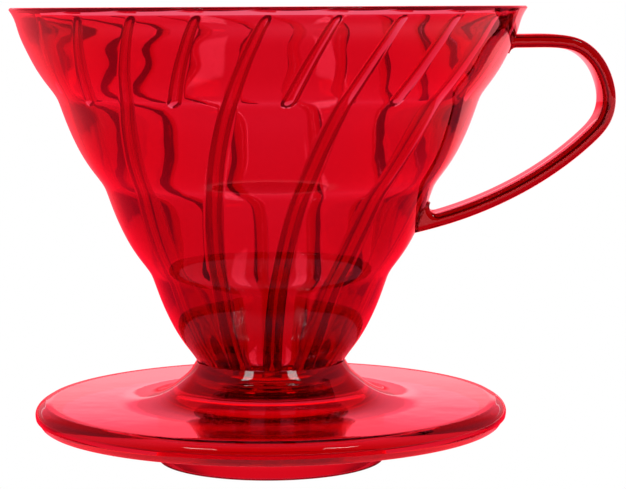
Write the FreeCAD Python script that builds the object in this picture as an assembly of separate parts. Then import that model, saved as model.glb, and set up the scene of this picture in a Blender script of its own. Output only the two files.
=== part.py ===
import FreeCAD, Part
import math
import os

# Pour over dripper: a one-cup coffee cone in clear coloured plastic, standing on its own saucer.
# Frame: +Z up, Z = 0 under the locating ring that reaches into the cup, Z axis = axis of the cone.
# The handle points along +X and one long rib starts at -Y. All sizes in millimetres.

# cone, outside
RIM_Z = 103.2  # top of the rim, which is also the overall height
RIM_R = 58.1  # outside radius of the rim
NECK_Z = 23.0  # lowest point of the bottom tier, where the base begins
NECK_R = 16.9  # outside radius at that point
TIER_COUNT = 4  # bowl-shaped tiers stacked up the outside
TIER_SHAPE = (  # height and radius gained up one tier, as shares of its height and width
    (0.0, 0.0),
    (0.05, 0.062),
    (0.16, 0.222),
    (0.32, 0.430),
    (0.52, 0.632),
    (0.72, 0.796),
    (0.93, 0.942),
)
RIM_ROUND = 0.5  # rounding of the outer top corner of the rim

# cone, inside
WALL_TOP = 2.4  # wall thickness at the rim, measured level
BORE_R = 10.0  # outlet hole at the bottom of the cone
SPIGOT_R = 15.2  # outside of the spigot that enters the base
SPIGOT_Z = 18.0  # lower end of the spigot
FUNNEL_R = 13.6  # inside radius of the funnel level with the neck
FUNNEL_Z = 19.4  # level where the funnel meets the outlet hole

# spiral ribs inside the cone
RIB_COUNT = 12  # long ribs, and the same number of short ones between them
RIB_TOP_Z = 102.1  # level where every rib starts, just below the rim
RIB_END_Z = 18.4  # level the long ribs are carried down to before the outlet trims them
SHORT_END_Z = 82.8  # level where the short ribs end, at the lowest point of the top tier
RIB_TWIST = 29.0  # degrees a long rib turns between the rim and the outlet
TWIST_POWER = 1.65  # how much of that turn comes near the rim
RIB_WIDTH_TOP = 2.3
RIB_WIDTH_LOW = 3.6
RIB_WIDTH_RADIUS = 44.0  # inside radius where a rib reaches its full width
RIB_HEIGHT_TOP = 1.0  # height of a rib just below its rounded top end
RIB_HEIGHT_LOW = 4.1  # height of a rib at the neck
RIB_ROOT = 0.7  # depth of each rib's root inside the wall
RIB_END_ROUND = 1.6  # length over which a rib's end is rounded off
RIB_STATIONS = 9  # sections that shape a long rib
SHORT_STATIONS = 4  # sections that shape a short one
RIB_ARCH_STEPS = 8  # steps over the arch of one section
RIB_TIP = (  # share of the end rounding run so far, and how full the rib is there
    (0.0, 0.45),
    (0.25, 0.72),
    (0.55, 0.90),
    (1.0, 1.0),
)

# handle
HANDLE_WIDTH = 12.0
HANDLE_THICK = 3.0
HANDLE_EDGE_ROUND = 1.3
HANDLE_PATH = (  # X and Z along the outer side of the strip, from the top junction round to the bottom one
    (52.0, 96.8),
    (58.0, 96.8),
    (65.0, 96.7),
    (70.3, 95.5),
    (74.6, 92.0),
    (77.3, 86.7),
    (78.0, 81.1),
    (76.7, 76.7),
    (72.8, 72.1),
    (66.7, 67.1),
    (58.8, 62.0),
    (51.0, 58.1),
    (43.0, 55.0),
    (35.0, 52.7),
    (28.0, 51.1),
)
HANDLE_CORNER_ROUND = 1.6  # fillets where the strip meets the cone, inside the loop
HANDLE_STATIONS = 40  # points that carry the strip thickness round the loop
HANDLE_REACH = 90.0  # well outside the loop
HANDLE_BURIED_X = 44.0  # edges nearer the axis than this lie inside the cone and are cut away
WALL_OVERLAP = 0.8  # the fillets run this far into the wall before they are trimmed to it

# base
DISC_TOP_Z = 14.0  # flat upper side of the disc
DISC_UNDER_Z = 11.5  # lower side of the disc between the rolled rim and the ring
RIM_SHAPE = (  # radius and Z over the rolled rim, from the edge of the flat top to the parting line
    (51.9, 13.75),
    (52.8, 13.2),
    (53.5, 12.45),
    (53.8, 11.6),
    (53.7, 10.5),
)
RIM_LOW_R = 52.3  # lower edge of the rolled rim
RIM_LOW_Z = 8.7
RIM_TURN_R = 51.4  # where the flat top starts to turn down
PARTING_STEP = 0.15  # the lower half of the rim is set in by this much
LIP_WIDTH = 3.4  # thickness of the rolled rim at its lower edge
COLLAR_SHAPE = (  # radius and Z down the outside of the trumpet collar, ending on the disc
    (17.0, 22.8),
    (17.6, 21.8),
    (18.6, 20.3),
    (20.6, 18.4),
    (23.2, 16.5),
    (26.4, 14.95),
    (30.0, 14.2),
    (34.0, 14.0),
)
HOLLOW_SHAPE = (  # radius and Z up the hollow under the collar, from the ring to the shelf under the spigot
    (23.7, 11.5),
    (23.1, 13.2),
    (21.6, 14.9),
    (19.4, 16.2),
    (17.0, 16.9),
)
SHELF_HOLE_R = 13.6  # hole through the shelf that the spigot stands on
RING_R = 25.9  # outside of the locating ring
RING_INNER_R = 23.7
RING_ROUND = 0.5  # rounding under the inside of the ring

TOUCHING = 0.01  # lengths closer than this count as equal

Z_AXIS = FreeCAD.Vector(0, 0, 1)
ORIGIN = FreeCAD.Vector(0, 0, 0)


def point(radius, z):
    return FreeCAD.Vector(radius, 0, z)


def line(a, b):
    return Part.makeLine(a, b)


def curve(points, start=None, end=None):
    spline = Part.BSplineCurve()
    if start is None:
        spline.interpolate(points)
    else:
        spline.interpolate(Points=points, InitialTangent=start, FinalTangent=end)
    return spline.toShape()


def revolve(edges):
    face = Part.Face(Part.Wire(edges))
    return face.revolve(ORIGIN, Z_AXIS, 360)


def tier_points():
    tier_height = (RIM_Z - NECK_Z) / TIER_COUNT
    tier_width = (RIM_R - NECK_R) / TIER_COUNT
    points = []
    for tier in range(TIER_COUNT):
        for up, out in TIER_SHAPE:
            z = NECK_Z + (tier + up) * tier_height
            radius = NECK_R + (tier + out) * tier_width
            points.append(point(radius, z))
    return points


def wall_radius(z):
    """Inside radius of the bare wall at a level."""
    rim_inside = RIM_R - WALL_TOP
    slope = (rim_inside - FUNNEL_R) / (RIM_Z - NECK_Z)
    return FUNNEL_R + (z - NECK_Z) * slope


def corner(a, b, round_by):
    """Quarter round from a to b, which each lie round_by away from a square corner."""
    middle = (a + b) * 0.5
    outward = FreeCAD.Vector(b.z - a.z, 0, a.x - b.x).normalize()
    bulge = round_by * (1.0 - math.sqrt(0.5))
    return Part.Arc(a, middle + outward * bulge, b).toShape()


def path(points):
    """Straight lines joining the points in turn."""
    edges = []
    for index in range(len(points) - 1):
        edges.append(line(points[index], points[index + 1]))
    return edges


def cone_wall():
    outside = tier_points()
    rim_side = point(RIM_R, RIM_Z - RIM_ROUND)
    rim_top = point(RIM_R - RIM_ROUND, RIM_Z)
    outside.append(rim_side)
    inside = [
        rim_top,
        point(wall_radius(RIM_Z), RIM_Z),
        point(wall_radius(FUNNEL_Z), FUNNEL_Z),
        point(BORE_R, FUNNEL_Z),
        point(BORE_R, SPIGOT_Z),
        point(SPIGOT_R, SPIGOT_Z),
        point(SPIGOT_R, NECK_Z),
        outside[0],
    ]
    edges = [curve(outside), corner(rim_side, rim_top, RIM_ROUND)]
    return revolve(edges + path(inside))


def rib_turn(z):
    """Angle in degrees that a rib has turned at a level, counted from the rim."""
    share = (wall_radius(z) - FUNNEL_R) / (wall_radius(RIB_TOP_Z) - FUNNEL_R)
    share = max(share, 0.0)
    return -RIB_TWIST * (1.0 - share**TWIST_POWER)


def rib_frame(z, start_angle):
    """Point on the wall with the inward normal and the direction across the rib."""
    angle = math.radians(start_angle + rib_turn(z))
    radial = FreeCAD.Vector(math.cos(angle), math.sin(angle), 0)
    across = FreeCAD.Vector(-math.sin(angle), math.cos(angle), 0)
    slope = wall_radius(1.0) - wall_radius(0.0)
    inward = (Z_AXIS * slope - radial).normalize()
    at = radial * wall_radius(z) + Z_AXIS * z
    return at, inward, across


def rib_section(z, start_angle, scale):
    """Half an ellipse standing on the wall, closed by a chord inside the wall."""
    at, inward, across = rib_frame(z, start_angle)
    low = (RIB_TOP_Z - z) / (RIB_TOP_Z - NECK_Z)
    spread = (wall_radius(RIM_Z) - wall_radius(z)) / (wall_radius(RIM_Z) - RIB_WIDTH_RADIUS)
    width = RIB_WIDTH_TOP + (RIB_WIDTH_LOW - RIB_WIDTH_TOP) * min(1.0, spread)
    height = RIB_HEIGHT_TOP + (RIB_HEIGHT_LOW - RIB_HEIGHT_TOP) * low
    half = 0.5 * width * scale
    crest = (height + RIB_ROOT) * scale
    root = at - inward * RIB_ROOT
    points = []
    for step in range(RIB_ARCH_STEPS + 1):
        sweep = math.pi * step / RIB_ARCH_STEPS
        points.append(root + across * (half * math.cos(sweep)) + inward * (crest * math.sin(sweep)))
    arch = curve(points, inward * crest, inward * -crest)
    return Part.Wire([arch, line(points[-1], points[0])])


def rib(start_angle, end_z, stations, round_end):
    sections = []
    for along, scale in RIB_TIP:
        sections.append(rib_section(RIB_TOP_Z - along * RIB_END_ROUND, start_angle, scale))
    first = RIB_TOP_Z - RIB_END_ROUND
    last = end_z + (RIB_END_ROUND if round_end else 0.0)
    for step in range(1, stations + 1):
        z = first + (last - first) * step / stations
        sections.append(rib_section(z, start_angle, 1.0))
    if round_end:
        for along, scale in reversed(RIB_TIP[:-1]):
            sections.append(rib_section(end_z + along * RIB_END_ROUND, start_angle, scale))
    return Part.makeLoft(sections, True, False)


def around_axis(shape, count):
    copies = []
    for index in range(count):
        copy = shape.copy()
        copy.rotate(ORIGIN, Z_AXIS, 360.0 * index / count)
        copies.append(copy)
    return copies


def cone():
    wall = cone_wall()
    long_rib = rib(-90.0, RIB_END_Z, RIB_STATIONS, False)
    short_rib = rib(-90.0 + 180.0 / RIB_COUNT, SHORT_END_Z, SHORT_STATIONS, True)
    ribs = around_axis(long_rib, RIB_COUNT) + around_axis(short_rib, RIB_COUNT)
    body = wall.fuse(ribs)
    outlet = Part.makeCylinder(BORE_R, RIM_Z, point(0, 0), Z_AXIS)
    below = Part.makeCylinder(RIM_R, SPIGOT_Z, point(0, 0), Z_AXIS)
    return body.cut([outlet, below]).removeSplitter()


def outside_block():
    """Everything inside the cone's outer surface, used to cut the handle to the wall."""
    outside = tier_points()
    outside.append(point(RIM_R, RIM_Z - RIM_ROUND))
    edges = [
        curve(outside),
        line(outside[-1], point(0, RIM_Z - RIM_ROUND)),
        line(point(0, RIM_Z - RIM_ROUND), point(0, NECK_Z)),
        line(point(0, NECK_Z), outside[0]),
    ]
    return revolve(edges)


def handle_outline():
    """Outer side of the strip and, one strip thickness inside it, the inner side."""
    outer = [FreeCAD.Vector(x, 0, z) for x, z in HANDLE_PATH]
    spine = Part.BSplineCurve()
    spine.interpolate(outer)
    inner = []
    for step in range(HANDLE_STATIONS + 1):
        at = spine.FirstParameter + (spine.LastParameter - spine.FirstParameter) * step / HANDLE_STATIONS
        tangent = spine.tangent(at)[0]
        into_loop = FreeCAD.Vector(tangent.z, 0, -tangent.x)
        inner.append(spine.value(at) + into_loop * HANDLE_THICK)
    return outer, inner


def slab(edges):
    """Closed outline in the XZ plane, given the width of the handle."""
    face = Part.Face(Part.Wire(edges))
    face.translate(FreeCAD.Vector(0, -0.5 * HANDLE_WIDTH, 0))
    return face.extrude(FreeCAD.Vector(0, HANDLE_WIDTH, 0))


def closed(points):
    """A smooth curve through the points, closed by a straight line."""
    return [curve(points), line(points[-1], points[0])]


def finger_opening(inner):
    """The space inside the loop, with rounded corners where the strip meets the cone."""
    within = slab(closed(inner))
    wall = [at - point(WALL_OVERLAP, 0) for at in tier_points()]
    wall.append(point(RIM_R - WALL_OVERLAP, RIM_Z))
    far_top = point(HANDLE_REACH, RIM_Z)
    far_low = point(HANDLE_REACH, NECK_Z)
    beyond_wall = slab([curve(wall), line(wall[-1], far_top), line(far_top, far_low), line(far_low, wall[0])])
    opening = within.common(beyond_wall)
    corners = []
    for edge in opening.Edges:
        span = edge.Vertexes[-1].Point - edge.Vertexes[0].Point
        if abs(abs(span.y) - HANDLE_WIDTH) < TOUCHING:
            corners.append(edge)
    return opening.makeFillet(HANDLE_CORNER_ROUND, corners)


def handle():
    outer, inner = handle_outline()
    whole = slab([curve(outer), line(outer[-1], outer[0])])
    strip = whole.cut(finger_opening(inner))
    long_edges = []
    for edge in strip.Edges:
        side = edge.CenterOfMass.y
        if abs(abs(side) - 0.5 * HANDLE_WIDTH) > TOUCHING:
            continue
        if edge.CenterOfMass.x > HANDLE_BURIED_X:
            long_edges.append(edge)
    rounded = strip.makeFillet(HANDLE_EDGE_ROUND, long_edges)
    return rounded.cut(outside_block())


def base():
    collar = [point(radius, z) for radius, z in COLLAR_SHAPE]
    rolled = [point(radius, z) for radius, z in RIM_SHAPE]
    hollow = [point(radius, z) for radius, z in HOLLOW_SHAPE]
    turn = point(RIM_TURN_R, DISC_TOP_Z)
    parting = rolled[-1] - point(PARTING_STEP, 0)
    lip_r = RIM_LOW_R - LIP_WIDTH
    ring_foot = point(RING_R, 0)
    ring_heel = point(RING_INNER_R + RING_ROUND, 0)
    ring_inside = point(RING_INNER_R, RING_ROUND)
    edges = [curve(collar), line(collar[-1], turn), line(turn, rolled[0]), curve(rolled)]
    edges += path(
        [
            rolled[-1],
            parting,
            point(RIM_LOW_R, RIM_LOW_Z),
            point(lip_r, RIM_LOW_Z),
            point(lip_r, DISC_UNDER_Z),
            point(RING_R, DISC_UNDER_Z),
            ring_foot,
            ring_heel,
        ]
    )
    edges += [corner(ring_heel, ring_inside, RING_ROUND), line(ring_inside, hollow[0])]
    edges.append(curve(hollow))
    edges += path(
        [
            hollow[-1],
            point(SHELF_HOLE_R, hollow[-1].z),
            point(SHELF_HOLE_R, SPIGOT_Z),
            point(SPIGOT_R, SPIGOT_Z),
            point(SPIGOT_R, collar[0].z),
            collar[0],
        ]
    )
    return revolve(edges)


def write(name, shape):
    os.makedirs("parts", exist_ok=True)
    shape.exportStep(os.path.join("parts", name + ".step"))


write("cone", cone())
write("handle", handle())
write("base", base())
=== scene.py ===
import math

import bmesh
import bpy
import numpy as np
from mathutils import Matrix, Vector


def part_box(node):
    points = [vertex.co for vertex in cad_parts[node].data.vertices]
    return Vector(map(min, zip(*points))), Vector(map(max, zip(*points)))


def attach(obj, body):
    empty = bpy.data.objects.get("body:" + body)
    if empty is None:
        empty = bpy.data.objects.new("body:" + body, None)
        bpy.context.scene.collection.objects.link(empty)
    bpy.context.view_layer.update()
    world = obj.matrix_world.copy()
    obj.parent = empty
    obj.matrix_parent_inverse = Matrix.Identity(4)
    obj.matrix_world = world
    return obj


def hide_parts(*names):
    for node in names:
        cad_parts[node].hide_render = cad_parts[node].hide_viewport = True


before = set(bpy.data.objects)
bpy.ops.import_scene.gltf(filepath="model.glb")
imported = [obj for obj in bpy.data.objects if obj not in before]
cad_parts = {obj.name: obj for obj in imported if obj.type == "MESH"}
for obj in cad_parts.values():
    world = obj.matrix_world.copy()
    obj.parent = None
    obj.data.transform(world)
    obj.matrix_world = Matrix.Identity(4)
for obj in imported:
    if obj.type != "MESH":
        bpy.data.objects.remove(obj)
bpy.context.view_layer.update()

MM = 0.001

# ---------------------------------------------------------------- sizes taken from the frame
cone_lo, cone_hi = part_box("cone")
handle_lo, handle_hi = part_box("handle")
base_lo, base_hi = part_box("base")
RIM_Z = cone_hi[2] / MM
RIM_R = (cone_hi[1] - cone_lo[1]) / 2 / MM
SPIGOT_Z = cone_lo[2] / MM
DISC_R = (base_hi[1] - base_lo[1]) / 2 / MM
COLLAR_Z = base_hi[2] / MM
HANDLE_WIDTH = (handle_hi[1] - handle_lo[1]) / MM

# ---------------------------------------------------------------- design sizes, in millimetres
NECK_Z = 23.0
NECK_R = 16.9
TIERS = 4
TIER_SHAPE = (
    (0.0, 0.0), (0.05, 0.062), (0.16, 0.222), (0.32, 0.430),
    (0.52, 0.632), (0.72, 0.796), (0.93, 0.942),
)
WALL_TOP = 2.4
FUNNEL_R = 13.6
FUNNEL_Z = 19.4
BORE_R = 10.0
SPIGOT_R = 15.2
RIM_ROUND = 0.5

RIBS = 12
RIB_TOP_Z = 102.1
SHORT_END_Z = 82.8
RIB_TWIST = 29.0
TWIST_POWER = 1.65
RIB_WIDTH = (2.3, 3.6, 44.0)
RIB_HEIGHT = (1.0, 4.1)
RIB_ROOT = 0.7
RIB_END = 1.6
RIB_FOOT = 0.35

COLLAR_SHAPE = (
    (17.0, 22.8), (17.6, 21.8), (18.6, 20.3), (20.6, 18.4), (23.2, 16.5), (26.4, 14.95), (30.0, 14.2), (34.0, 14.0),
)
HOLLOW_SHAPE = ((23.7, 11.5), (23.1, 13.2), (21.6, 14.9), (19.4, 16.2), (17.0, 16.9))
DISC_TOP_Z = 14.0
DISC_UNDER_Z = 11.5
RIM_TURN_R = 51.4
RIM_SHAPE = ((51.9, 13.75), (52.8, 13.2), (53.5, 12.45), (53.8, 11.6), (53.7, 10.5))
RIM_LOW = (52.3, 8.7)
PARTING_STEP = 0.15
LIP_WIDTH = 3.4
RING_R = 25.9
RING_INNER_R = 23.7
SHELF_HOLE_R = 13.6

HANDLE_THICK = 3.0
HANDLE_ROUND = 1.3
EDGE_STEPS = 8
HANDLE_PATH = (
    (52.0, 96.8), (58.0, 96.8), (65.0, 96.7), (70.3, 95.5), (74.6, 92.0), (77.3, 86.7), (78.0, 81.1),
    (76.7, 76.7), (72.8, 72.1), (66.7, 67.1), (58.8, 62.0), (51.0, 58.1), (43.0, 55.0), (35.0, 52.7),
    (28.0, 51.1),
)
HANDLE_CORNER = 1.6
GAP = 0.015  # air left between bonded mouldings so that their faces do not coincide


# ---------------------------------------------------------------- curves
def cubic(ts, vs):
    """Natural cubic spline through values at given parameters, as a function."""
    ts, vs = np.asarray(ts, float), np.asarray(vs, float)
    n = len(ts)
    h = np.diff(ts)
    a = np.zeros((n, n))
    b = np.zeros((n,) + vs.shape[1:])
    a[0, 0] = a[-1, -1] = 1
    for i in range(1, n - 1):
        a[i, i - 1], a[i, i], a[i, i + 1] = h[i - 1], 2 * (h[i - 1] + h[i]), h[i]
        b[i] = 6 * ((vs[i + 1] - vs[i]) / h[i] - (vs[i] - vs[i - 1]) / h[i - 1])
    m = np.linalg.solve(a, b)

    def value(t):
        t = np.atleast_1d(np.asarray(t, float))
        i = np.clip(np.searchsorted(ts, t) - 1, 0, n - 2)
        u, w, hi = t - ts[i], ts[i + 1] - t, h[i]
        if vs.ndim > 1:
            u, w, hi = u[:, None], w[:, None], hi[:, None]
        return (
            (m[i] * w**3 + m[i + 1] * u**3) / (6 * hi)
            + (vs[i] / hi - m[i] * hi / 6) * w
            + (vs[i + 1] / hi - m[i + 1] * hi / 6) * u
        )

    return value


def through(points, count):
    """Points evenly spread along a smooth curve through a few."""
    pts = np.asarray(points, float)
    length = np.concatenate([[0], np.cumsum(np.linalg.norm(np.diff(pts, axis=0), axis=1))])
    return cubic(length, pts)(np.linspace(0, length[-1], count))


def tier_points():
    height, width = (RIM_Z - NECK_Z) / TIERS, (RIM_R - NECK_R) / TIERS
    pts = [(NECK_R + (k + out) * width, NECK_Z + (k + up) * height) for k in range(TIERS) for up, out in TIER_SHAPE]
    return np.array(pts + [(RIM_R, RIM_Z - RIM_ROUND)])


OUTSIDE = tier_points()
outer_radius = cubic(OUTSIDE[:, 1], OUTSIDE[:, 0])
WALL_SLOPE = (RIM_R - WALL_TOP - FUNNEL_R) / (RIM_Z - NECK_Z)
LEAN = math.atan(WALL_SLOPE)


def wall_radius(z):
    return FUNNEL_R + (z - NECK_Z) * WALL_SLOPE


def arc(centre, radius, start, end, count):
    a = np.radians(np.linspace(start, end, count))
    return [(centre[0] + radius * math.cos(t), centre[1] + radius * math.sin(t)) for t in a]


# ---------------------------------------------------------------- meshes
def make_object(name, verts, faces, smooth_angle=35):
    mesh = bpy.data.meshes.new(name)
    mesh.from_pydata([tuple(v * MM) for v in np.asarray(verts, float)], [], faces)
    mesh.validate()
    shell = bmesh.new()
    shell.from_mesh(mesh)
    if shell.calc_volume(signed=True) < 0:
        bmesh.ops.reverse_faces(shell, faces=shell.faces)
    shell.to_mesh(mesh)
    shell.free()
    ob = bpy.data.objects.new(name, mesh)
    bpy.context.scene.collection.objects.link(ob)
    for p in mesh.polygons:
        p.use_smooth = True
    mesh.set_sharp_from_angle(angle=math.radians(smooth_angle))
    return ob


def ring_rows(rows):
    """Closes rows of points, each a loop round the axis, into a tube. rows is rows x columns x 3."""
    rows = np.asarray(rows)
    n, m = rows.shape[:2]
    faces = []
    for i in range(n):
        k = (i + 1) % n
        for j in range(m):
            l = (j + 1) % m
            faces.append((i * m + j, i * m + l, k * m + l, k * m + j))
    return rows.reshape(-1, 3), faces


def turned(profile, columns):
    """Rows of a body of revolution from a closed profile of (radius, z)."""
    a = np.linspace(0, 2 * math.pi, columns, endpoint=False)
    pr = np.asarray(profile, float)
    return np.stack(
        [pr[:, :1] * np.cos(a), pr[:, :1] * np.sin(a), np.repeat(pr[:, 1:], columns, axis=1)], axis=-1
    )


# ---------------------------------------------------------------- the cone with its ribs
HALF_STEPS = np.array([0.22, 0.44, 0.64, 0.80, 0.91, 0.98, 1.08, 1.35])
STEPS = np.concatenate([-HALF_STEPS[::-1], [0], HALF_STEPS])
SPACERS = 2


def rib_size(z):
    low = (RIB_TOP_Z - z) / (RIB_TOP_Z - NECK_Z)
    spread = (wall_radius(RIM_Z) - wall_radius(z)) / (wall_radius(RIM_Z) - RIB_WIDTH[2])
    width = RIB_WIDTH[0] + (RIB_WIDTH[1] - RIB_WIDTH[0]) * min(max(spread, 0.0), 1.0)
    return width, RIB_HEIGHT[0] + (RIB_HEIGHT[1] - RIB_HEIGHT[0]) * low


def rib_turn(z):
    share = (wall_radius(z) - FUNNEL_R) / (wall_radius(RIB_TOP_Z) - FUNNEL_R)
    return math.radians(-RIB_TWIST * (1 - max(share, 0.0) ** TWIST_POWER))


def end_scale(z, end_z):
    """How full a rib is near its rounded top end, and near end_z if it stops there."""
    def cap(t):
        t = min(max(t, 0.0), 1.0)
        return math.sqrt(max(0.0, 1 - (1 - t) ** 2))

    scale = cap((RIB_TOP_Z - z) / RIB_END)
    if end_z is not None:
        scale = min(scale, cap((z - end_z) / RIB_END))
    return scale


def rib_rise(d, width, height, scale):
    if scale <= 0.02:
        return 0.0
    half = 0.5 * width * scale
    x = 1 - (d / half) ** 2
    rise = -RIB_ROOT + (height + RIB_ROOT) * scale * math.sqrt(x) if x > 0 else -RIB_ROOT
    k = RIB_FOOT * scale
    return max(rise, 0.0) + max(k - abs(rise), 0.0) ** 2 / (4 * k)


def inside_rows():
    levels = [RIM_Z - 0.3, RIM_Z - 0.7, RIB_TOP_Z]
    levels += list(RIB_TOP_Z - RIB_END * np.linspace(0, 1, 9)[1:] ** 1.3)
    top = levels[-1]
    levels += list(np.linspace(top, SHORT_END_Z + RIB_END, 21)[1:])
    levels += list(SHORT_END_Z + RIB_END * np.linspace(1, 0, 9)[1:])
    levels += list(np.linspace(SHORT_END_Z, FUNNEL_Z, 78)[1:])
    rows = []
    pitch = 2 * math.pi / RIBS
    for z in levels:
        radius = wall_radius(z)
        width, height = rib_size(z)
        long_half = 0.5 * width / radius
        short_half = min(long_half, (pitch / 2 - long_half * STEPS[-1]) * 0.6 / STEPS[-1])
        long_scale, short_scale = end_scale(z, None), end_scale(z, SHORT_END_Z)
        cell = [(s * long_half, rib_rise(s * long_half * radius, width, height, long_scale)) for s in STEPS]
        gap = (pitch / 2 - short_half * STEPS[-1]) - long_half * STEPS[-1]
        for i in range(SPACERS):
            cell.append((long_half * STEPS[-1] + gap * (i + 1) / (SPACERS + 1), 0.0))
        cell += [
            (pitch / 2 + s * short_half, rib_rise(s * short_half * radius, width, height, short_scale))
            for s in STEPS
        ]
        for i in range(SPACERS):
            cell.append((pitch / 2 + short_half * STEPS[-1] + gap * (i + 1) / (SPACERS + 1), 0.0))
        cell = np.array(cell)
        row = []
        for k in range(RIBS):
            a = -math.pi / 2 + rib_turn(z) + k * pitch + cell[:, 0]
            r = np.maximum(radius - cell[:, 1] * math.cos(LEAN), BORE_R)
            row.append(np.stack([r * np.cos(a), r * np.sin(a), z + cell[:, 1] * math.sin(LEAN)], axis=-1))
        rows.append(np.concatenate(row))
    return rows


def loop_rows(profile, count, start):
    a = start + np.linspace(0, 2 * math.pi, count, endpoint=False)
    return [np.stack([r * np.cos(a), r * np.sin(a), np.full(count, z)], axis=-1) for r, z in profile]


def make_cone():
    inside = inside_rows()
    count = len(inside[0])
    end_start = math.atan2(inside[-1][0][1], inside[-1][0][0])
    below = [(BORE_R, FUNNEL_Z - 0.25), (BORE_R, SPIGOT_Z + 0.3)]
    below += arc((BORE_R + 0.3, SPIGOT_Z + 0.3), 0.3, 180, 270, 4)[1:]
    below += arc((SPIGOT_R - GAP - 0.3, SPIGOT_Z + 0.3), 0.3, 270, 360, 4)
    below += [(SPIGOT_R - GAP, z) for z in np.linspace(SPIGOT_Z + 1.5, NECK_Z - 0.3, 6)]
    below += [(SPIGOT_R + 0.2, NECK_Z - 0.02)]
    levels = np.linspace(NECK_Z, RIM_Z - RIM_ROUND, 81)
    outside = [(float(outer_radius(z)[0]), z) for z in levels]
    rim = arc((RIM_R - RIM_ROUND, RIM_Z - RIM_ROUND), RIM_ROUND, 0, 90, 5)[1:]
    rim += [(RIM_R - WALL_TOP * 0.5, RIM_Z), (wall_radius(RIM_Z) + 0.25, RIM_Z)]
    rim += [(wall_radius(RIM_Z) + 0.06, RIM_Z - 0.07)]
    first = math.atan2(inside[0][0][1], inside[0][0][0])
    # the turned outside starts where the ribs' columns end, and winds back to where they begin
    steps = below + outside + rim
    rows = list(inside)
    turn = np.linspace(end_start, first, len(steps))
    for (r, z), a in zip(steps, turn):
        rows += loop_rows([(r, z)], count, a)
    verts, faces = ring_rows(rows)
    return make_object("cone_body", verts, faces)


# ---------------------------------------------------------------- the base
def make_base():
    collar = [tuple(p) for p in through(COLLAR_SHAPE, 30)]
    hollow = [tuple(p) for p in through(HOLLOW_SHAPE, 16)]
    lip_r = RIM_LOW[0] - LIP_WIDTH
    profile = collar + [(r, DISC_TOP_Z) for r in np.linspace(COLLAR_SHAPE[-1][0], RIM_TURN_R, 12)[1:]]
    rolled = [tuple(p) for p in through(RIM_SHAPE, 16)]
    profile += [(RIM_TURN_R + 0.2, DISC_TOP_Z - 0.05)] + rolled
    parting = (rolled[-1][0] - PARTING_STEP, rolled[-1][1] - 0.02)
    profile += [parting]
    profile += [tuple(np.array(parting) * (1 - t) + np.array(RIM_LOW) * t) for t in (0.1, 0.5, 0.85)]
    profile += [(RIM_LOW[0] - 0.15, RIM_LOW[1] + 0.03), (RIM_LOW[0] - 0.5, RIM_LOW[1])]
    profile += arc((lip_r + 0.3, RIM_LOW[1] + 0.3), 0.3, 270, 180, 4)
    profile += [(lip_r, DISC_UNDER_Z - 0.25)] + arc((lip_r - 0.2, DISC_UNDER_Z - 0.2), 0.2, 0, 90, 4)
    profile += [(r, DISC_UNDER_Z) for r in np.linspace(lip_r - 2, RING_R + 2, 9)]
    profile += arc((RING_R + 0.5, DISC_UNDER_Z - 0.5), 0.5, 90, 180, 5)
    profile += [(RING_R, z) for z in (8.5, 6.0, 3.0, 0.4)] + [(RING_R - 0.12, 0.1), (RING_R - 0.4, 0.0)]
    profile += [(RING_INNER_R + 0.5, 0.0)] + arc((RING_INNER_R + 0.5, 0.5), 0.5, 270, 180, 5)[1:]
    profile += [(RING_INNER_R, z) for z in (3.0, 6.0, 9.0)]
    profile += hollow
    shelf_z = HOLLOW_SHAPE[-1][1]
    profile += [(15.5, shelf_z), (SHELF_HOLE_R + 0.2, shelf_z), (SHELF_HOLE_R, shelf_z + 0.2)]
    profile += [(SHELF_HOLE_R, SPIGOT_Z - GAP - 0.15), (SHELF_HOLE_R + 0.15, SPIGOT_Z - GAP)]
    profile += [(SPIGOT_R + GAP - 0.2, SPIGOT_Z - GAP), (SPIGOT_R + GAP, SPIGOT_Z - GAP + 0.2)]
    profile += [(SPIGOT_R + GAP, z) for z in np.linspace(SPIGOT_Z + 1, COLLAR_Z - 0.25, 5)]
    profile += [(SPIGOT_R + GAP + 0.15, COLLAR_Z)]
    verts, faces = ring_rows(turned(profile, 288))
    return make_object("base_saucer", verts, faces)


# ---------------------------------------------------------------- the handle
def handle_outline():
    outer = through(HANDLE_PATH, 190)
    tangent = np.gradient(outer, axis=0)
    tangent /= np.linalg.norm(tangent, axis=1)[:, None]
    inward = np.stack([tangent[:, 1], -tangent[:, 0]], axis=1)
    inner = outer + inward * HANDLE_THICK
    # a ball of the corner radius rolled along the inner side until it touches the wall
    wall_z = np.linspace(NECK_Z, RIM_Z - RIM_ROUND, 1200)
    wall = np.stack([outer_radius(wall_z), wall_z], axis=1)
    centres = inner + inward * HANDLE_CORNER
    away = np.array([np.min(np.linalg.norm(wall - c, axis=1)) for c in centres])
    outside_wall = centres[:, 0] > outer_radius(centres[:, 1])
    free = np.where(outside_wall & (away > HANDLE_CORNER))[0]
    first, last = free[0], free[-1]

    def corner(index):
        c = centres[index]
        touch = wall[np.argmin(np.linalg.norm(wall - c, axis=1))]
        a0 = math.atan2(*(inner[index] - c)[::-1])
        a1 = math.atan2(*(touch - c)[::-1])
        sweep = (a1 - a0 + math.pi) % (2 * math.pi) - math.pi
        over = math.radians(14) * (1 if sweep > 0 else -1)  # carries on into the wall, where it is trimmed
        angles = np.linspace(a0, a0 + sweep + over, 12)
        return np.stack([c[0] + HANDLE_CORNER * np.cos(angles), c[1] + HANDLE_CORNER * np.sin(angles)], axis=1)

    top, low = corner(first), corner(last)
    inner = np.concatenate([top[::-1], inner[first + 1 : last], low])
    return outer, inner


def side_normals(points):
    """Directions from one side of the strip into its thickness."""
    tangent = np.gradient(points, axis=0)
    tangent /= np.linalg.norm(tangent, axis=1)[:, None]
    return np.stack([tangent[:, 1], -tangent[:, 0]], axis=1)


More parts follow.
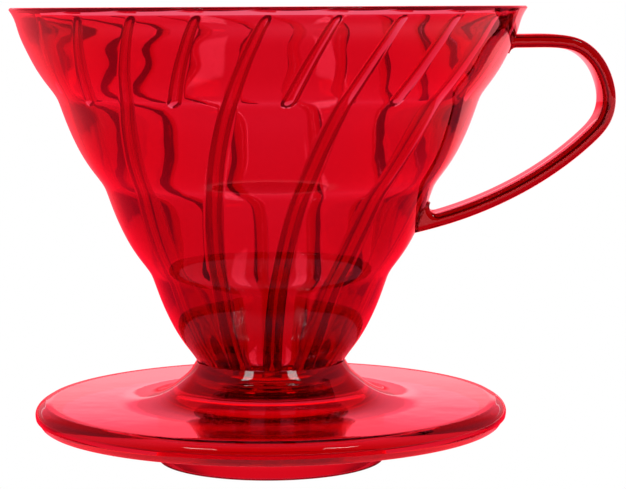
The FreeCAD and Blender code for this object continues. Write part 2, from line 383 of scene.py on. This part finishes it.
def make_handle():
    outer, inner = handle_outline()
    half = HANDLE_WIDTH / 2
    outline = np.concatenate([outer, inner[::-1]])
    into = np.concatenate([side_normals(outer), side_normals(inner[::-1])])
    rows = []
    for t in np.radians(np.linspace(0, 90, EDGE_STEPS)):
        ring = outline + into * HANDLE_ROUND * (1 - math.sin(t))
        rows.append((half - HANDLE_ROUND * (1 - math.cos(t)), ring))
    rows = [(-y, ring) for y, ring in rows] + [(y, ring) for y, ring in rows[::-1]]
    n = len(outline)
    verts = [(x, y, z) for y, ring in rows for x, z in ring]
    last = (len(rows) - 1) * n
    faces = [tuple(range(n)), tuple(range(last + n - 1, last - 1, -1))]
    for k in range(len(rows) - 1):
        faces += [(k * n + i, (k + 1) * n + i, (k + 1) * n + (i + 1) % n, k * n + (i + 1) % n) for i in range(n)]
    ob = make_object("handle_loop", verts, faces)
    wall = [(float(outer_radius(z)[0]) + GAP, z) for z in np.linspace(NECK_Z + 8, RIM_Z - RIM_ROUND, 75)]
    solid = [(0.5, RIM_Z - RIM_ROUND), (0.5, NECK_Z + 8)] + wall
    verts, faces = ring_rows(turned(solid, 456))
    cutter = make_object("cutter", verts, faces)
    cut = ob.modifiers.new("trimmed to the cone", "BOOLEAN")
    cut.operation, cut.solver, cut.object = "DIFFERENCE", "EXACT", cutter
    bpy.context.view_layer.update()
    mesh = bpy.data.meshes.new_from_object(ob.evaluated_get(bpy.context.evaluated_depsgraph_get()))
    ob.modifiers.clear()
    ob.data = mesh
    bpy.data.objects.remove(cutter)
    for p in mesh.polygons:
        p.use_smooth = True
    mesh.set_sharp_from_angle(angle=math.radians(35))
    return ob


# ---------------------------------------------------------------- materials
def clear_red(name, seed, absorb=(0.095, 0.90, 0.70), wave=0.02):
    """Clear tinted plastic: light is lost along its way through, so thick parts are deeper red."""
    m = bpy.data.materials.new(name)
    m.use_nodes = True
    nt = m.node_tree
    nt.nodes.clear()
    out = nt.nodes.new("ShaderNodeOutputMaterial")
    p = nt.nodes.new("ShaderNodeBsdfPrincipled")
    p.inputs["Base Color"].default_value = (1, 1, 1, 1)
    p.inputs["Transmission Weight"].default_value = 1
    p.inputs["IOR"].default_value = 1.57
    where = nt.nodes.new("ShaderNodeTexCoord")
    flow = nt.nodes.new("ShaderNodeTexNoise")
    flow.noise_dimensions = "4D"
    flow.inputs["Scale"].default_value = 90
    flow.inputs["Detail"].default_value = 2
    flow.inputs["W"].default_value = seed
    nt.links.new(where.outputs["Object"], flow.inputs["Vector"])
    bump = nt.nodes.new("ShaderNodeBump")
    bump.inputs["Strength"].default_value = wave
    bump.inputs["Distance"].default_value = 0.0008
    nt.links.new(flow.outputs["Fac"], bump.inputs["Height"])
    nt.links.new(bump.outputs["Normal"], p.inputs["Normal"])
    haze = nt.nodes.new("ShaderNodeMapRange")
    haze.inputs["From Min"].default_value = 0.45
    haze.inputs["From Max"].default_value = 0.8
    haze.inputs["To Min"].default_value = 0.0
    haze.inputs["To Max"].default_value = 0.03
    nt.links.new(flow.outputs["Fac"], haze.inputs["Value"])
    nt.links.new(haze.outputs["Result"], p.inputs["Roughness"])
    tint = nt.nodes.new("ShaderNodeVolumeAbsorption")
    most = max(absorb)
    tint.inputs["Density"].default_value = most * 1000
    tint.inputs["Color"].default_value = tuple(1 - a / most for a in absorb) + (1,)
    nt.links.new(p.outputs[0], out.inputs["Surface"])
    nt.links.new(tint.outputs[0], out.inputs["Volume"])
    return m


# ---------------------------------------------------------------- build
cone = make_cone()
base = make_base()
handle = make_handle()
plastic = clear_red("clear_red_plastic", 3.0)
for ob in (cone, base, handle):
    ob.data.materials.append(plastic)
    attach(ob, "root")
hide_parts("cone")
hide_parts("base")
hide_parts("handle")

# ---------------------------------------------------------------- studio
class Wires:
    """Lays out shader nodes with few words."""

    def __init__(self, tree):
        self.tree = tree
        tree.nodes.clear()

    def add(self, kind):
        return self.tree.nodes.new(kind)

    def put(self, value, socket):
        if isinstance(value, bpy.types.NodeSocket):
            self.tree.links.new(value, socket)
        else:
            socket.default_value = value

    def ramp(self, value, low, high, at_low, at_high):
        n = self.add("ShaderNodeMapRange")
        n.interpolation_type = "SMOOTHSTEP"
        for v, k in ((value, "Value"), (low, "From Min"), (high, "From Max"), (at_low, "To Min"), (at_high, "To Max")):
            self.put(v, n.inputs[k])
        return n.outputs["Result"]

    def math(self, kind, a, b=0.0):
        n = self.add("ShaderNodeMath")
        n.operation = kind
        self.put(a, n.inputs[0])
        self.put(b, n.inputs[1])
        return n.outputs[0]

    def product(self, *values):
        total = values[0]
        for v in values[1:]:
            total = self.math("MULTIPLY", total, v)
        return total

    def blend(self, share, first, second):
        n = self.add("ShaderNodeMix")
        n.data_type = "RGBA"
        for v, i in ((share, 0), (first, 6), (second, 7)):
            self.put(v if isinstance(v, (float, bpy.types.NodeSocket)) else v + (1,), n.inputs[i])
        return n.outputs[2]

    def parts(self, vector):
        n = self.add("ShaderNodeSeparateXYZ")
        self.put(vector, n.inputs[0])
        return n.outputs

    def scaled(self, colour, amount):
        n = self.add("ShaderNodeVectorMath")
        n.operation = "SCALE"
        self.put(colour, n.inputs[0])
        self.put(amount, n.inputs["Scale"])
        return n.outputs[0]


WHITE = (1.0, 1.0, 1.0)
# Floor glow colours, all painted light: FLOOR_UNDER, FLOOR_DIM, FLOOR_BEYOND and FLOOR_FRONT paint a red-tinted shadow
# around the base; FLOOR_MIRRORED, FLOOR_FAR and FLOOR_NEAR paint the floor's reflection red
FLOOR_UNDER = (0.85, 0.02, 0.05)  # light reaches the floor below the base through red plastic
FLOOR_MIRRORED, FLOOR_FAR = (2.7, 0.02, 0.08), (2.6, 0.42, 0.50)
BOX_UP, BOX_SIDE, BOX_H, BOX_W, BOX_E = 0.768, 0.43, 0.030, 0.07, 5.5
SKY_LOW, SKY_HIGH = (2.4, 0.78, 0.90), (2.4, 0.19, 0.31)
FLOOR_DIM, FLOOR_BEYOND = (0.30, 0.01, 0.02), (2.6, 0.06, 0.10)
FLOOR_NEAR, FLOOR_FRONT = (2.6, 0.18, 0.26), (0.7, 0.02, 0.04)
AROUND_SIDE = (2.2, 0.08, 0.14)
AROUND = (2.4, 0.04, 0.07)
SKY_EDGE = (1.8, 0.25, 0.32)
scene = bpy.context.scene
floor_mesh = bpy.data.meshes.new("floor")
floor_mesh.from_pydata([(-4, -4, 0), (4, -4, 0), (4, 4, 0), (-4, 4, 0)], [], [(0, 1, 2, 3)])
floor = bpy.data.objects.new("floor", floor_mesh)
scene.collection.objects.link(floor)
# The floor glows: plain white to the camera; for rays seen through or mirrored in the plastic its glow is painted
# shadow and painted reflection
floor_paint = bpy.data.materials.new("floor_glow_painted_shade")
floor_paint.use_nodes = True
w = Wires(floor_paint.node_tree)
out, glow, path = w.add("ShaderNodeOutputMaterial"), w.add("ShaderNodeEmission"), w.add("ShaderNodeLightPath")
where = w.parts(w.add("ShaderNodeNewGeometry").outputs["Position"])
away = w.math("SQRT", w.math("ADD", w.product(where["X"], where["X"]), w.product(where["Y"], where["Y"])))
# painted shadow: the floor seen through the plastic darkens and turns red within about 30 to 56 mm of the axis, dimmer
# still in a band from about 0 to 28 mm behind the axis, brighter red farther back
clear_of_painted_shadow = w.ramp(away, 0.030, 0.056, 0.0, 1.0)
dim = w.product(w.ramp(where["Y"], -0.008, 0.004, 0.0, 1.0), w.ramp(where["Y"], 0.022, 0.034, 1.0, 0.0))
under = w.blend(w.ramp(where["Y"], 0.022, 0.034, 0.0, 1.0), FLOOR_UNDER, FLOOR_BEYOND)
seen_through = w.blend(clear_of_painted_shadow, w.blend(dim, under, FLOOR_DIM), WHITE)
# painted shadow in front of the base: the floor there turns dark red
seen_through = w.blend(w.ramp(where["Y"], -0.056, -0.046, 1.0, 0.0), seen_through, FLOOR_FRONT)
# painted reflection: the floor as mirrored in the plastic glows red, paler and pinker farther off, pinkish within
# about 57 mm of the axis, and takes the painted shadow colour under the base
far = w.product(w.ramp(away, 0.13, 0.38, 0.0, 1.0), w.ramp(where["X"], -0.04, 0.06, 0.3, 1.0))
mirrored = w.blend(far, FLOOR_MIRRORED, FLOOR_FAR)
mirrored = w.blend(w.ramp(away, 0.057, 0.061, 1.0, 0.0), mirrored, FLOOR_NEAR)
mirrored = w.blend(clear_of_painted_shadow, FLOOR_UNDER, mirrored)
colour = w.blend(path.outputs["Is Reflection Ray"], seen_through, mirrored)
colour = w.blend(path.outputs["Is Camera Ray"], colour, WHITE)
w.put(colour, glow.inputs["Color"])
w.put(glow.outputs[0], out.inputs["Surface"])
floor.data.materials.append(floor_paint)

world = bpy.data.worlds.new("studio")
scene.world = world
world.use_nodes = True
w = Wires(world.node_tree)
out, glow, path = w.add("ShaderNodeOutputWorld"), w.add("ShaderNodeBackground"), w.add("ShaderNodeLightPath")
coord = w.add("ShaderNodeTexCoord")
side, _, ahead = w.parts(coord.outputs["Camera"])
up = w.parts(coord.outputs["Generated"])["Z"]
side = w.math("ABSOLUTE", side)
box = w.product(
    w.ramp(w.math("ABSOLUTE", w.math("SUBTRACT", up, BOX_UP)), BOX_H, BOX_H + 0.02, 1.0, 0.0),
    w.ramp(w.math("ABSOLUTE", w.math("SUBTRACT", side, BOX_SIDE)), BOX_W, BOX_W + 0.02, 1.0, 0.0),
    w.ramp(ahead, -0.1, 0.0, 1.0, 0.0),
)
seen_through = w.scaled(WHITE, w.math("ADD", w.ramp(ahead, -0.35, 0.25, 0.04, 1.0), w.product(box, BOX_E)))
sky = w.product(w.ramp(ahead, 0.7, 0.93, 0.0, 1.0), w.ramp(up, 0.0, 0.08, 0.0, 1.0))
pink = w.blend(w.ramp(up, 0.165, 0.192, 0.0, 1.0), SKY_LOW, SKY_HIGH)
pink = w.blend(w.ramp(up, 0.148, 0.160, 0.0, 1.0), SKY_EDGE, pink)
mirrored = w.blend(sky, w.scaled(w.blend(w.ramp(side, 0.45, 0.7, 0.0, 1.0), AROUND, AROUND_SIDE), w.ramp(ahead, -0.9, 0.0, 0.3, 1.0)), pink)
mirrored = w.blend(box, mirrored, (BOX_E, BOX_E, BOX_E))
colour = w.blend(path.outputs["Is Reflection Ray"], seen_through, mirrored)
colour = w.blend(path.outputs["Is Camera Ray"], colour, WHITE)
w.put(colour, glow.inputs["Color"])
w.put(glow.outputs[0], out.inputs["Surface"])

camera_data = bpy.data.cameras.new("camera")
camera = bpy.data.objects.new("camera", camera_data)
scene.collection.objects.link(camera)
scene.camera = camera
camera_data.sensor_width = 36
camera_data.lens = 126.77
camera_data.clip_start = 0.01
YAW, PITCH, ROLL = math.radians(-1.229), 0.1083, 0.0047
camera.matrix_world = (
    Matrix.Translation(Vector((-0.00093, -0.5000, 0.10358)))
    @ Matrix.Rotation(YAW, 4, "Z")
    @ Matrix.Rotation(math.pi / 2 - PITCH, 4, "X")
    @ Matrix.Rotation(-ROLL, 4, "Z")
)

scene.view_settings.view_transform = "Standard"
scene.cycles.use_denoising = True
scene.cycles.max_bounces = 28
scene.cycles.transmission_bounces = 28
scene.cycles.glossy_bounces = 12
scene.cycles.transparent_max_bounces = 16
scene.cycles.caustics_refractive = True
scene.cycles.caustics_reflective = True
